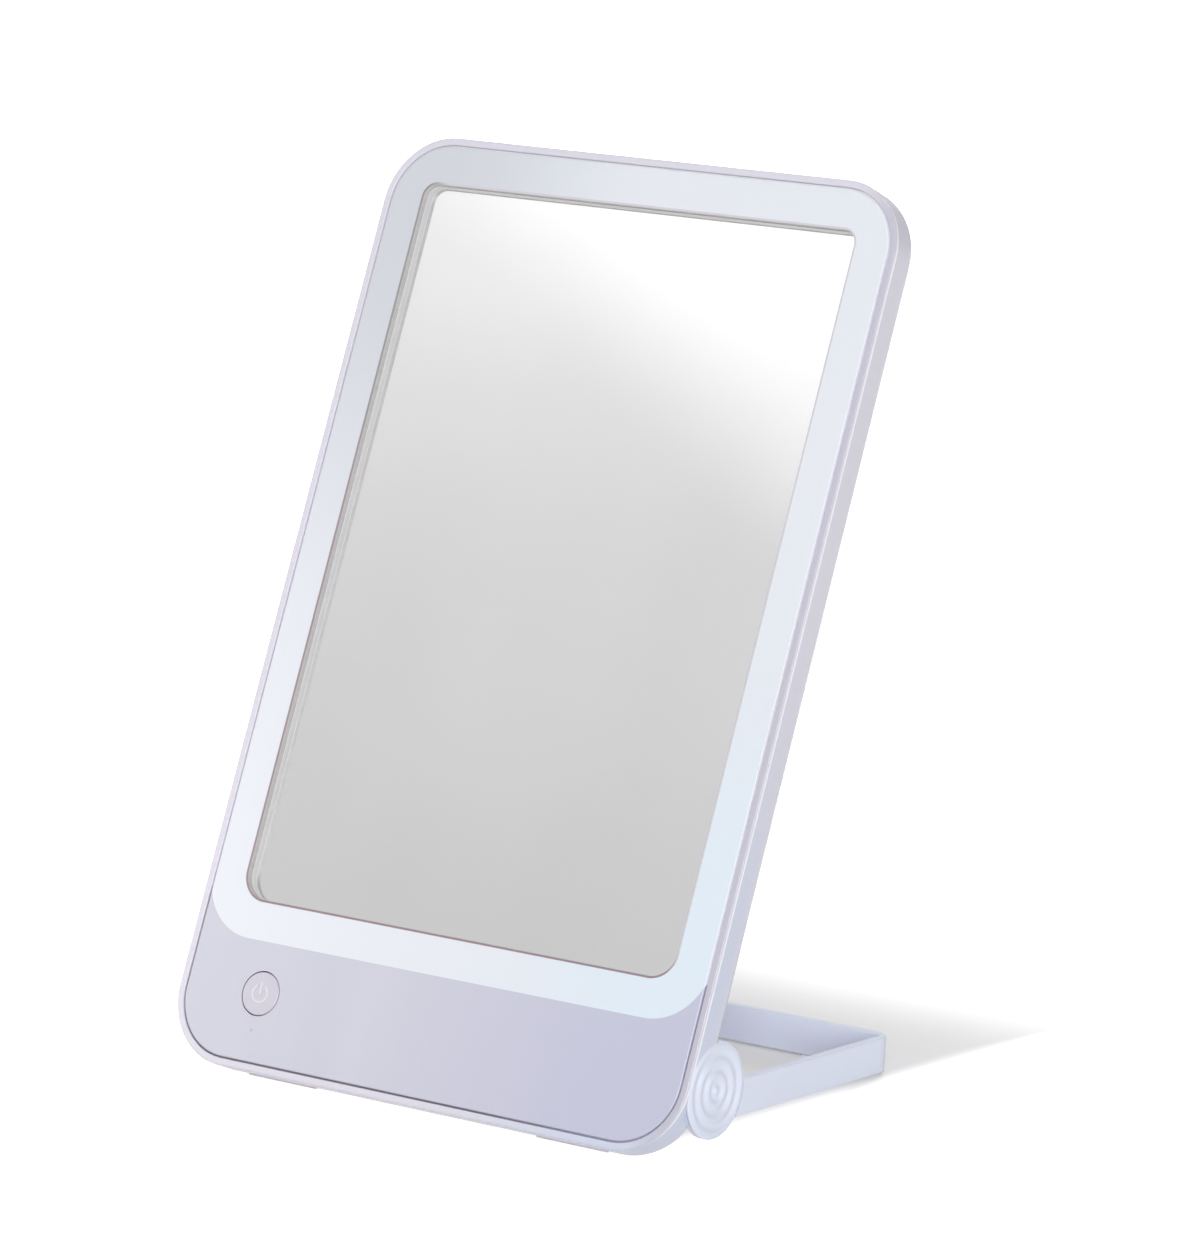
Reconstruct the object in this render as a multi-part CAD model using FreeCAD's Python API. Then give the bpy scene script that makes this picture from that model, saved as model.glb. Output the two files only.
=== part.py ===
import FreeCAD, Part
import math
import os

# A lighted folding mirror. The slab is built upright: X to the right, Y from its front to its back,
# Z up from its lower edge. The whole is then leaned back and set down on its feet.
# Lengths are in millimetres, angles in degrees.

# Slab and rear shell
slab_width = 133.0
slab_height = 210.0
slab_corner_radius = 15.6
back_edge_radius = 4.0
back_wall = 1.6
rim_wall = 1.65
rim_edge_radius = 0.5
rim_inner_radius = 0.3
lean_angle = 25.5

# Front panel: the lit frame and the chin cover, split along the seam
panel_gap = 0.35
groove_depth = 0.6
panel_thickness = 1.6
panel_edge_radius = 0.4
skirt_gap = 0.08
skirt_thickness = 1.25
side_band = 10.55
lower_band = 8.8
top_band = 11.0
opening_lower_radius = 5.7
opening_upper_radius = 3.0
opening_edge_radius = 0.3
seam_height = 28.1
seam_corner_radius = 13.5
seam_corner_inset = 14.75
baffle_thickness = 1.0

# Mirror and the foam sheet behind it
mirror_lap = 1.8
mirror_thickness = 1.5
mirror_corner_radius = 4.0
tape_thickness = 0.4
tape_inset = 3.0

# Inner frame
tray_thickness = 1.0
tray_gap = 0.3
ridge_thickness = 0.6
ridge_height = 1.1
ridge_gap = 0.2
tab_width = 10.0
tab_depth = 0.8
tab_spacing = 76.0
tab_gap = 0.1

# Screws of the inner frame, under the mirror
boss_radius = 2.4
boss_spacing = 92.0
boss_board_gap = 5.0
boss_top_margin = 20.0
pad_radius = 3.2
pad_height = 0.8
screw_radius = 0.8
screw_head_radius = 1.5
screw_head_height = 0.7
screw_length = 4.2
screw_gap = 0.15

# Stiffening ribs on the shell's floor
rib_thickness = 1.2
rib_battery_gap = 13.0
rib_past_battery = 44.0

# Light strips
strip_thickness = 0.8
strip_end_margin = 9.8
strip_gap = 0.475
chip_width = 2.8
chip_length = 3.5
chip_height = 0.7
chip_pitch = 12.0
jumper_radius = 0.4
jumper_bend = 8.0

# Control board with its switch, socket and pins
board_left_inset = 7.9
board_tongue_inset = 3.9
board_width = 25.6
board_low_height = 6.6
board_past_socket = 6.8
board_before_socket = 6.0
board_thickness = 1.0
board_post_radius = 2.2
board_post_inset = 3.2
board_screw_length = 3.2
board_screw_head_height = 0.6
header_inset = 7.0
header_pitch = 2.54
header_pin_radius = 0.4
header_hole_gap = 0.3
charge_led_width = 1.6
charge_led_length = 0.8
charge_led_height = 0.6

# Charging socket in the left wall
socket_width = 8.94
socket_thickness = 3.16
socket_length = 7.3
socket_wall = 0.3
socket_recess = 0.3
socket_height = 42.2
socket_bore_depth = 6.2
socket_tongue_width = 6.69
socket_tongue_thickness = 0.7
socket_tongue_length = 4.45
socket_seat_gap = 0.1
socket_floor_gap = 0.2
socket_front_gap = 0.14

# Power button, switch and indicator
button_inset = 21.8
button_height = 16.9
button_radius = 4.75
button_gap = 0.22
button_proud = 0.2
button_edge_radius = 0.4
button_flange_radius = 5.7
button_flange_thickness = 0.8
button_seat_gap = 0.05
button_stem_radius = 1.6
button_travel = 0.5
switch_size = 4.5
switch_body_height = 1.6
switch_bore_radius = 1.35
switch_bore_spare = 0.2
plunger_radius = 1.2
plunger_rise = 0.7
plunger_sunk = 0.6
indicator_height = 8.8
indicator_radius = 0.4
indicator_flange_radius = 0.9
indicator_flange_thickness = 0.7
indicator_gap = 0.3

# Pegs of the chin cover and their posts in the shell
peg_radius = 1.5
peg_length = 4.4
peg_row_height = 14.0
peg_board_gap = 11.0
peg_block_gap = 13.0
peg_count = 3
post_radius = 2.7
post_height = 4.0

# Battery, its tape and its leads
battery_width = 34.0
battery_height = 52.0
battery_thickness = 2.9
battery_board_gap = 37.0
battery_edge_radius = 1.0
battery_seal_height = 4.0
battery_seal_thickness = 0.8
battery_tape_inset = 3.0
battery_tape_thickness = 0.25
lead_radius = 0.6
lead_bend = 6.0
lead_pitch = 2.6
lead_count = 2
lead_drop = 14.0
lead_board_overlap = 4.0
lead_board_inset = 6.0

# Hinge: ears of the shell, lugs, pins, washers and caps
pivot_height = 17.2
pivot_behind_back = 1.3
ear_front_margin = 0.6
lug_radius = 5.6
lug_thickness = 3.2
block_margin = 1.4
pin_radius = 1.5
pin_cover = 0.8
cap_gap = 0.05
cap_seat_depth = 0.8
cap_wave = 0.16
cap_proud = 0.15
cap_edge_radius = 0.3
cap_ring_count = 3
washer_radius = 4.4
washer_thickness = 0.7
washer_bore_gap = 0.1
hinge_side_gap = 0.08
pin_running_gap = 0.05

# Stand: two arms and a rear bar in one bent band
band_height = 7.9
arm_inset = 0.1
arm_thickness = 2.0
arm_length = 69.7
bar_thickness = 2.5
bail_outer_radius = 4.9
bail_inner_radius = 1.0
bail_edge_radius = 0.35
eye_radius = 5.4
eye_thickness = 1.3
eye_gap = 0.4
neck_past_ear = 5.0
ear_clearance = 0.2
heel_stop_gap = 0.06
fold_gap = 0.4

# Rubber feet under the slab and pads under the stand
foot_width = 18.0
foot_depth = 2.2
foot_stand = 0.2
foot_sunk = 0.7
foot_spacing = 76.0
pad_stand = 0.25
pad_sunk = 0.6
pad_width = 14.0
pad_depth = 1.5
pad_edge = 0.5
pad_spacing = 102.0

# How far a cut runs past the face that it opens
overrun = 2.0
# Nearness at which two points count as one
same_point = 0.001

# Places that follow from the sizes above, from the front to the back
mirror_front = panel_thickness
mirror_back = mirror_front + mirror_thickness
tray_front = mirror_back + tape_thickness
tray_back = tray_front + tray_thickness
socket_front = tray_back + socket_front_gap
socket_middle = socket_front + socket_thickness / 2
floor_face = socket_front + socket_thickness + socket_floor_gap
slab_depth = floor_face + back_wall
board_front = socket_middle - board_thickness / 2
board_back = socket_middle + board_thickness / 2
switch_front = board_front - switch_body_height
switch_bore_depth = plunger_sunk + button_travel + switch_bore_spare
plunger_front = switch_front - plunger_rise

# Places across the slab and up it
half_width = slab_width / 2
panel_inset = rim_wall + panel_gap
ledge_inset = rim_wall + skirt_gap
skirt_inset = ledge_inset + skirt_thickness
opening_half = half_width - side_band
opening_base_height = seam_height + lower_band
opening_top_height = slab_height - top_band
mirror_half = opening_half + mirror_lap
mirror_low_height = opening_base_height - mirror_lap
mirror_high_height = opening_top_height + mirror_lap
ridge_offset = ridge_gap + ridge_thickness
strip_width = half_width - skirt_inset - mirror_half - ridge_offset - 2 * strip_gap
strip_side_x = (half_width - skirt_inset + mirror_half + ridge_offset) / 2
strip_top_height = (slab_height - skirt_inset + mirror_high_height + ridge_offset) / 2
strip_low_height = (seam_height + mirror_low_height - ridge_offset) / 2
strip_front = tray_front - strip_thickness
strip_mid_height = (mirror_low_height + mirror_high_height) / 2
strip_side_length = mirror_high_height - mirror_low_height - 2 * strip_end_margin
strip_end_length = 2 * (mirror_half - strip_end_margin)
board_high_height = socket_height + board_past_socket
board_tongue_low_height = socket_height - board_before_socket
board_left_x = board_left_inset - half_width
board_tongue_x = board_tongue_inset - half_width
board_right_x = board_left_x + board_width
header_x = board_right_x - header_inset
button_x = button_inset - half_width
boss_low_height = board_high_height + boss_board_gap
boss_high_height = slab_height - boss_top_margin
battery_base_height = board_high_height + battery_board_gap
rib_spacing = battery_width + 2 * rib_battery_gap
rib_low_height = battery_base_height - lead_drop
rib_high_height = battery_base_height + battery_height + rib_past_battery

# Places about the hinge, counted inward from a side of the slab or outward from the pivot
pivot_depth = slab_depth + pivot_behind_back
ear_radius = pivot_depth - ear_front_margin
cap_radius = ear_radius
cap_half_wave = 2 * (cap_radius - cap_edge_radius) / (4 * cap_ring_count + 1)
arm_inner = arm_inset + arm_thickness
eye_outer = rim_wall + hinge_side_gap
eye_inner = eye_outer + eye_thickness
neck_length = ear_radius + ear_clearance + neck_past_ear
lug_outer = eye_inner + washer_thickness + 2 * hinge_side_gap
lug_inner = lug_outer + lug_thickness
band_above_pivot = pivot_behind_back - fold_gap
band_below_pivot = band_height - band_above_pivot
heel = pivot_behind_back - heel_stop_gap
peg_first_x = board_right_x + peg_board_gap
peg_last_x = half_width - lug_inner - peg_block_gap
peg_pitch = (peg_last_x - peg_first_x) / (peg_count - 1)

# How the slab and the stand meet the floor
lean = math.radians(lean_angle)
edge_low_y = slab_depth - back_edge_radius + back_edge_radius * math.sin(lean)
edge_low_z = back_edge_radius - back_edge_radius * math.cos(lean)
floor_level = edge_low_z * math.cos(lean) - edge_low_y * math.sin(lean) - foot_stand
pivot_level = pivot_height * math.cos(lean) - pivot_depth * math.sin(lean) - floor_level
stand_reach = math.hypot(arm_length, band_below_pivot)
stand_drop_angle = math.asin((pivot_level - pad_stand) / stand_reach)
arm_slope = math.degrees(math.atan2(band_below_pivot, arm_length) - stand_drop_angle)
stand_turn = arm_slope + lean_angle
top_back_y = ((slab_height - back_edge_radius) * math.sin(lean)
              + (slab_depth - back_edge_radius) * math.cos(lean) + back_edge_radius)
low_front_y = rim_edge_radius * (math.sin(lean) + math.cos(lean)) - rim_edge_radius
middle_y = (top_back_y + low_front_y) / 2

SIDES = {"left": -1, "right": 1}
X_AXIS = FreeCAD.Vector(1, 0, 0)
Y_AXIS = FreeCAD.Vector(0, 1, 0)
Z_AXIS = FreeCAD.Vector(0, 0, 1)


def vec(x, y, z):
    return FreeCAD.Vector(x, y, z)


def block(x0, x1, y0, y1, z0, z1):
    """A box between two corners."""
    return Part.makeBox(x1 - x0, y1 - y0, z1 - z0, vec(x0, y0, z0))


def rod_y(x, z, radius, y0, y1):
    """A cylinder that runs from front to back."""
    return Part.makeCylinder(radius, y1 - y0, vec(x, y0, z), Y_AXIS)


def hinge_rod(side, inset_from, inset_to, radius):
    """A cylinder on the hinge axis, between two depths inward from a side face of the slab."""
    x0, x1 = sorted((side * (half_width - inset_from), side * (half_width - inset_to)))
    return Part.makeCylinder(radius, x1 - x0, vec(x0, pivot_depth, pivot_height), X_AXIS)


def rounded_wire(x0, x1, z0, z1, low_radius, high_radius, y):
    """A rectangle across the slab with one radius at its lower corners and one at its upper."""
    corners = ((x0, z0, 1, 1, low_radius), (x1, z0, -1, 1, low_radius),
               (x1, z1, -1, -1, high_radius), (x0, z1, 1, -1, high_radius))
    diagonal = math.sqrt(0.5)
    ends = []
    arcs = []
    for number, (x, z, to_x, to_z, radius) in enumerate(corners):
        along_x = vec(x + to_x * radius, y, z)
        along_z = vec(x, y, z + to_z * radius)
        middle = vec(x + to_x * radius * (1 - diagonal), y, z + to_z * radius * (1 - diagonal))
        first, last = (along_z, along_x) if number % 2 == 0 else (along_x, along_z)
        arcs.append(Part.Arc(first, middle, last).toShape())
        ends.append((first, last))
    edges = []
    for number, arc in enumerate(arcs):
        edges.append(arc)
        start = ends[number][1]
        end = ends[(number + 1) % len(arcs)][0]
        edges.append(Part.makeLine(start, end))
    return Part.Wire(edges)


def rounded_block(x0, x1, z0, z1, low_radius, high_radius, y0, y1):
    face = Part.Face(rounded_wire(x0, x1, z0, z1, low_radius, high_radius, y0))
    return face.extrude(vec(0, y1 - y0, 0))


def slab_block(inset, y0, y1):
    """The slab's own outline, moved inward, as a block."""
    radius = slab_corner_radius - inset
    return rounded_block(-half_width + inset, half_width - inset, inset, slab_height - inset,
                         radius, radius, y0, y1)


def opening_block(grow, low_radius, high_radius, y0, y1):
    """The mirror opening's outline, grown outward, as a block."""
    half = opening_half + grow
    return rounded_block(-half, half, opening_base_height - grow, opening_top_height + grow,
                         low_radius, high_radius, y0, y1)


def edges_at(shape, y):
    """The edges that lie wholly at one depth."""
    found = []
    for edge in shape.Edges:
        middle = (edge.FirstParameter + edge.LastParameter) / 2
        places = (edge.FirstParameter, middle, edge.LastParameter)
        if all(abs(edge.valueAt(place).y - y) < same_point for place in places):
            found.append(edge)
    return found


def chin_region(grow, y0, y1):
    """The space below the seam, raised by grow: a straight seam that sweeps up at both sides."""
    radius = seam_corner_radius - grow
    centre_x = half_width - seam_corner_inset
    centre_z = seam_height + seam_corner_radius
    slant = radius * math.sqrt(0.5)
    past_side = half_width + overrun
    sweep_right = [vec(centre_x, y0, centre_z - radius), vec(centre_x + slant, y0, centre_z - slant),
                   vec(centre_x + radius, y0, centre_z)]
    sweep_left = [vec(-centre_x - radius, y0, centre_z), vec(-centre_x - slant, y0, centre_z - slant),
                  vec(-centre_x, y0, centre_z - radius)]
    corners = [sweep_right[-1], vec(past_side, y0, centre_z), vec(past_side, y0, -overrun),
               vec(-past_side, y0, -overrun), vec(-past_side, y0, centre_z), sweep_left[0]]
    edges = [Part.Arc(*sweep_left).toShape(), Part.makeLine(sweep_left[-1], sweep_right[0]),
             Part.Arc(*sweep_right).toShape()]
    edges += [Part.makeLine(start, end) for start, end in zip(corners, corners[1:])]
    return Part.Face(Part.Wire(edges)).extrude(vec(0, y1 - y0, 0))


def bent_wire(points, bend, radius):
    """A wire through points, with tangent arcs of one bend radius at its turns."""
    edges = []
    start = points[0]
    for before, corner, after in zip(points, points[1:], points[2:]):
        back = (before - corner).normalize()
        ahead = (after - corner).normalize()
        half_turn = back.getAngle(ahead) / 2
        cut = bend / math.tan(half_turn)
        first = corner + back * cut
        last = corner + ahead * cut
        middle_way = (back + ahead).normalize()
        middle = corner + middle_way * (bend / math.sin(half_turn) - bend)
        edges.append(Part.makeLine(start, first))
        edges.append(Part.Arc(first, middle, last).toShape())
        start = last
    edges.append(Part.makeLine(start, points[-1]))
    path = Part.Wire(edges)
    heading = (points[1] - points[0]).normalize()
    section = Part.Wire(Part.makeCircle(radius, points[0], heading))
    return path.makePipeShell([section], True, False)


def turned(shape, angle, centre):
    """A copy turned about an axis along X."""
    copy = shape.copy()
    copy.rotate(centre, X_AXIS, angle)
    return copy


def base_foot(x):
    """One rubber foot, level with the floor once the slab leans."""
    foot = block(x - foot_width / 2, x + foot_width / 2, -foot_depth / 2, foot_depth / 2,
                 -foot_stand, foot_sunk)
    foot = turned(foot, lean_angle, vec(0, 0, 0))
    foot.translate(vec(0, edge_low_y, edge_low_z))
    return foot


def base_feet():
    return [base_foot(side * foot_spacing / 2) for side in SIDES.values()]


def boss_places():
    return [(side * boss_spacing / 2, height) for side in SIDES.values()
            for height in (boss_low_height, boss_high_height)]


def board_post_places():
    return [(board_left_x + board_post_inset, board_low_height + board_post_inset),
            (board_right_x - board_post_inset, board_high_height - board_post_inset)]


def peg_places():
    return [(peg_first_x + number * peg_pitch, peg_row_height) for number in range(peg_count)]


def socket_outline(grow, x0, x1):
    """The charging socket's rounded outline, grown outward, along X."""
    radius = socket_thickness / 2 + grow
    reach = socket_width / 2 - socket_thickness / 2
    low = socket_height - reach
    high = socket_height + reach
    edges = [Part.makeLine(vec(x0, socket_middle - radius, low), vec(x0, socket_middle - radius, high)),
             Part.Arc(vec(x0, socket_middle - radius, high), vec(x0, socket_middle, high + radius),
                      vec(x0, socket_middle + radius, high)).toShape(),
             Part.makeLine(vec(x0, socket_middle + radius, high), vec(x0, socket_middle + radius, low)),
             Part.Arc(vec(x0, socket_middle + radius, low), vec(x0, socket_middle, low - radius),
                      vec(x0, socket_middle - radius, low)).toShape()]
    return Part.Face(Part.Wire(edges)).extrude(vec(x1 - x0, 0, 0))


def hinge_ear(side):
    """A round ear behind its cap, standing out past the slab's back."""
    return hinge_rod(side, cap_seat_depth, rim_wall, ear_radius)


def hinge_lug(side):
    """The inner lug behind the back, on a solid block inside the shell."""
    x0, x1 = sorted((side * (half_width - lug_outer), side * (half_width - lug_inner)))
    foot = block(x0, x1, floor_face, pivot_depth, pivot_height - lug_radius, pivot_height + lug_radius)
    head = hinge_rod(side, lug_outer, lug_inner, lug_radius)
    reach = eye_radius + eye_gap + block_margin
    b0, b1 = sorted((side * (half_width - rim_wall), side * (half_width - lug_inner)))
    body = block(b0, b1, tray_front + tray_gap, floor_face, pivot_height - reach, pivot_height + reach)
    inside = slab_block(rim_wall, 0, slab_depth)
    return foot.fuse([head, body.common(inside)])


def rear_shell():
    """A moulded tray with rim, ears, hinge pockets, bosses, posts, ribs and the charging cut-out."""
    outer = slab_block(0, 0, slab_depth)
    outer = outer.makeFillet(back_edge_radius, edges_at(outer, slab_depth))
    outer = outer.makeFillet(rim_edge_radius, edges_at(outer, 0))
    cavity = slab_block(rim_wall, -overrun, floor_face)
    cavity = cavity.makeFillet(back_edge_radius - rim_wall, edges_at(cavity, floor_face))
    shell = outer.cut(cavity)
    rim_face = next(face for face in shell.Faces if face.BoundBox.YMax < same_point)
    mouth = [edge for wire in rim_face.Wires if not wire.isSame(rim_face.OuterWire) for edge in wire.Edges]
    shell = shell.makeFillet(rim_inner_radius, mouth)
    adds = []
    for x, z in boss_places():
        adds.append(rod_y(x, z, boss_radius, tray_back + pad_height, floor_face))
    for x, z in board_post_places():
        adds.append(rod_y(x, z, board_post_radius, board_back, floor_face))
    for x, z in peg_places():
        adds.append(rod_y(x, z, post_radius, floor_face - post_height, floor_face))
    for side in SIDES.values():
        rib_x = side * rib_spacing / 2
        adds.append(block(rib_x - rib_thickness / 2, rib_x + rib_thickness / 2, tray_back, floor_face,
                          rib_low_height, rib_high_height))
        adds.append(hinge_ear(side))
        adds.append(hinge_lug(side))
    shell = shell.fuse(adds).removeSplitter()
    cuts = base_feet()
    for x, z in boss_places():
        cuts.append(rod_y(x, z, screw_radius, tray_back, tray_back + screw_length))
    for x, z in board_post_places():
        cuts.append(rod_y(x, z, screw_radius, board_back - overrun, board_front + board_screw_length))
    for x, z in peg_places():
        cuts.append(rod_y(x, z, peg_radius, floor_face - post_height - overrun, panel_thickness + peg_length))
    for side in SIDES.values():
        cuts.append(hinge_rod(side, rim_wall, lug_outer, eye_radius + eye_gap))
        cuts.append(hinge_rod(side, cap_seat_depth, lug_inner - pin_cover, pin_radius))
        cuts.append(hinge_rod(side, -overrun, cap_seat_depth, cap_radius + cap_gap))
        tab_x = side * tab_spacing / 2
        tab_half = tab_width / 2 + tab_gap
        tab_top = slab_height - rim_wall + tab_depth + tab_gap
        cuts.append(block(tab_x - tab_half, tab_x + tab_half, tray_front - tab_gap, tray_back + tab_gap,
                          slab_height - rim_wall - overrun, tab_top))
    cuts.append(socket_outline(socket_seat_gap, -half_width - overrun, -half_width + rim_wall + overrun))
    return shell.cut(cuts)


def front_panel():
    """The flush front plate with its ledge, its skirt and the mirror opening, before it is split."""
    plate = slab_block(panel_inset, 0, panel_thickness)
    plate = plate.makeFillet(panel_edge_radius, edges_at(plate, 0))
    ledge = slab_block(ledge_inset, groove_depth, panel_thickness)
    window = opening_block(0, opening_lower_radius, opening_upper_radius, -overrun, panel_thickness + overrun)
    plate = plate.fuse(ledge).removeSplitter().cut(window)
    mouth = [edge for edge in edges_at(plate, 0)
             if abs(edge.CenterOfMass.x) < mirror_half and edge.CenterOfMass.z > mirror_low_height
             and edge.CenterOfMass.z < mirror_high_height]
    plate = plate.makeFillet(opening_edge_radius, mouth)
    skirt = slab_block(ledge_inset, panel_thickness, tray_front)
    skirt = skirt.cut(slab_block(skirt_inset, panel_thickness, tray_front))
    return plate.fuse(skirt).removeSplitter()


def light_frame():
    """The opal frame above the seam."""
    return front_panel().cut(chin_region(0, -overrun, tray_front + overrun))


def chin_cover():
    """The cover below the seam, with a wall that stops the light, pegs and two holes."""
    cover = front_panel().common(chin_region(0, -overrun, tray_front + overrun))
    baffle = chin_region(0, panel_thickness, tray_front)
    baffle = baffle.cut(chin_region(-baffle_thickness, panel_thickness, tray_front))
    baffle = baffle.common(slab_block(ledge_inset, panel_thickness, tray_front))
    adds = [baffle]
    for x, z in peg_places():
        adds.append(rod_y(x, z, peg_radius, panel_thickness, panel_thickness + peg_length))
    cover = cover.fuse(adds).removeSplitter()
    button_hole = rod_y(button_x, button_height, button_radius + button_gap, -overrun, tray_front)
    lens_hole = rod_y(button_x, indicator_height, indicator_radius, -overrun, tray_front)
    return cover.cut([button_hole, lens_hole])


def mirror_glass():
    return opening_block(mirror_lap, mirror_corner_radius, mirror_corner_radius, mirror_front, mirror_back)


def mirror_tape():
    return opening_block(mirror_lap - tape_inset, mirror_corner_radius, mirror_corner_radius,
                         mirror_back, tray_front)


def inner_frame():
    """The white tray: a plate with a ridge round the mirror, tabs at its top and pads for screws."""
    plate = slab_block(rim_wall + tray_gap, tray_front, tray_back)
    plate = plate.cut(chin_region(tray_gap, tray_front - overrun, tray_back + overrun))
    ridge_radius = mirror_corner_radius + ridge_gap
    ridge = opening_block(mirror_lap + ridge_offset, ridge_radius + ridge_thickness,
                          ridge_radius + ridge_thickness, tray_front - ridge_height, tray_front)
    ridge = ridge.cut(opening_block(mirror_lap + ridge_gap, ridge_radius, ridge_radius,
                                    tray_front - ridge_height, tray_front))
    adds = [ridge]
    for side in SIDES.values():
        tab_x = side * tab_spacing / 2
        adds.append(block(tab_x - tab_width / 2, tab_x + tab_width / 2, tray_front, tray_back,
                          slab_height - rim_wall - tray_gap - tab_depth, slab_height - rim_wall + tab_depth))
    for x, z in boss_places():
        adds.append(rod_y(x, z, pad_radius, tray_back, tray_back + pad_height))
    tray = plate.fuse(adds).removeSplitter()
    cuts = []
    for x, z in boss_places():
        cuts.append(rod_y(x, z, screw_radius + screw_gap, tray_front - overrun,
                          tray_back + pad_height + overrun))
        cuts.append(rod_y(x, z, screw_head_radius + screw_gap, tray_front - overrun,
                          tray_front + screw_head_height + screw_gap))
    for x in header_pin_places():
        cuts.append(rod_y(x, strip_low_height, header_pin_radius + header_hole_gap, tray_front - overrun,
                          tray_back + overrun))
    return tray.cut(cuts)


def screw(x, z, y, head_height, length):
    """A flat-headed screw whose head starts at depth y."""
    head = rod_y(x, z, screw_head_radius, y, y + head_height)
    return head.fuse(rod_y(x, z, screw_radius, y, y + length)).removeSplitter()


def frame_screws():
    head_at = tray_front + screw_gap
    return [screw(x, z, head_at, screw_head_height, screw_length) for x, z in boss_places()]


def board_screws():
    head_at = board_front - board_screw_head_height
    return [screw(x, z, head_at, board_screw_head_height, board_screw_length)
            for x, z in board_post_places()]


def side_strip(side):
    x = side * strip_side_x
    return block(x - strip_width / 2, x + strip_width / 2, strip_front, tray_front,
                 strip_mid_height - strip_side_length / 2, strip_mid_height + strip_side_length / 2)


def end_strip(height):
    return block(-strip_end_length / 2, strip_end_length / 2, strip_front, tray_front,
                 height - strip_width / 2, height + strip_width / 2)


def chip_steps(length):
    """Even steps of the chips along a strip, counted from its middle."""
    count = int((length - chip_length) / chip_pitch) + 1
    return [(number - (count - 1) / 2) * chip_pitch for number in range(count)]


def led_chips():
    chips = []
    chip_front = strip_front - chip_height
    for side in SIDES.values():
        x = side * strip_side_x
        for step in chip_steps(strip_side_length):
            z = strip_mid_height + step
            chips.append(block(x - chip_width / 2, x + chip_width / 2, chip_front, strip_front,
                               z - chip_length / 2, z + chip_length / 2))
    for z in (strip_low_height, strip_top_height):
        for x in chip_steps(strip_end_length):
            chips.append(block(x - chip_length / 2, x + chip_length / 2, chip_front, strip_front,
                               z - chip_width / 2, z + chip_width / 2))
    return chips


def strip_jumper(side, end_height, side_end_height):
    """A wire round one corner, from the end of a cross strip to the end of a side strip."""
    y = tray_front - jumper_radius
    points = [vec(side * strip_end_length / 2, y, end_height),
              vec(side * strip_side_x, y, end_height),
              vec(side * strip_side_x, y, side_end_height)]
    return bent_wire(points, jumper_bend, jumper_radius)


def strip_jumpers():
    low = strip_mid_height - strip_side_length / 2
    high = strip_mid_height + strip_side_length / 2
    return [strip_jumper(-1, strip_low_height, low), strip_jumper(1, strip_low_height, low),
            strip_jumper(-1, strip_top_height, high)]


def header_pin_places():
    return [header_x - header_pitch / 2, header_x + header_pitch / 2]


def led_header():
    return [rod_y(x, strip_low_height, header_pin_radius, tray_front, board_front)
            for x in header_pin_places()]


def control_board():
    """The board, with a tongue that reaches round the charging socket."""
    board = block(board_left_x, board_right_x, board_front, board_back, board_low_height, board_high_height)
    tongue = block(board_tongue_x, board_left_x, board_front, board_back,
                   board_tongue_low_height, board_high_height)
    board = board.fuse(tongue).removeSplitter()
    socket_end = -half_width + socket_recess + socket_length + socket_seat_gap
    notch_half = socket_width / 2 + socket_seat_gap
    cuts = [block(board_tongue_x - overrun, socket_end, board_front - overrun, board_back + overrun,
                  socket_height - notch_half, socket_height + notch_half)]
    for x, z in board_post_places():
        cuts.append(rod_y(x, z, screw_radius + screw_gap, board_front - overrun, board_back + overrun))
    return board.cut(cuts)


def usb_socket():
    """A hollow charging socket with its contact tongue."""
    front = -half_width + socket_recess
    back = front + socket_length
    shell = socket_outline(0, front, back)
    shell = shell.cut(socket_outline(-socket_wall, front - overrun, front + socket_bore_depth))
    tongue = block(front + socket_bore_depth - socket_tongue_length, front + socket_bore_depth,
                   socket_middle - socket_tongue_thickness / 2, socket_middle + socket_tongue_thickness / 2,
                   socket_height - socket_tongue_width / 2, socket_height + socket_tongue_width / 2)
    return shell.fuse(tongue).removeSplitter()


def tact_switch():
    half = switch_size / 2
    body = block(button_x - half, button_x + half, switch_front, board_front,
                 button_height - half, button_height + half)
    return body.cut(rod_y(button_x, button_height, switch_bore_radius, switch_front - overrun,
                          switch_front + switch_bore_depth))


def switch_plunger():
    return rod_y(button_x, button_height, plunger_radius, plunger_front, switch_front + plunger_sunk)


def power_button():
    """A round cap with a softened edge, a flange behind the cover and a stem to the switch."""
    flange_front = panel_thickness + button_seat_gap
    flange_back = flange_front + button_flange_thickness
    cap = rod_y(button_x, button_height, button_radius, -button_proud, flange_front)
    cap = cap.makeFillet(button_edge_radius, edges_at(cap, -button_proud))
    flange = rod_y(button_x, button_height, button_flange_radius, flange_front, flange_back)
    stem = rod_y(button_x, button_height, button_stem_radius, flange_back, plunger_front)
    return cap.fuse([flange, stem]).removeSplitter()


def charge_led():
    return block(button_x - charge_led_width / 2, button_x + charge_led_width / 2,
                 board_front - charge_led_height, board_front,
                 indicator_height - charge_led_length / 2, indicator_height + charge_led_length / 2)


def indicator_lens():
    """A light pipe from the charge light to the cover's face."""
    pipe = rod_y(button_x, indicator_height, indicator_radius, 0,
                 board_front - charge_led_height - indicator_gap)
    flange = rod_y(button_x, indicator_height, indicator_flange_radius, panel_thickness,
                   panel_thickness + indicator_flange_thickness)
    return pipe.fuse(flange).removeSplitter()


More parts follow.
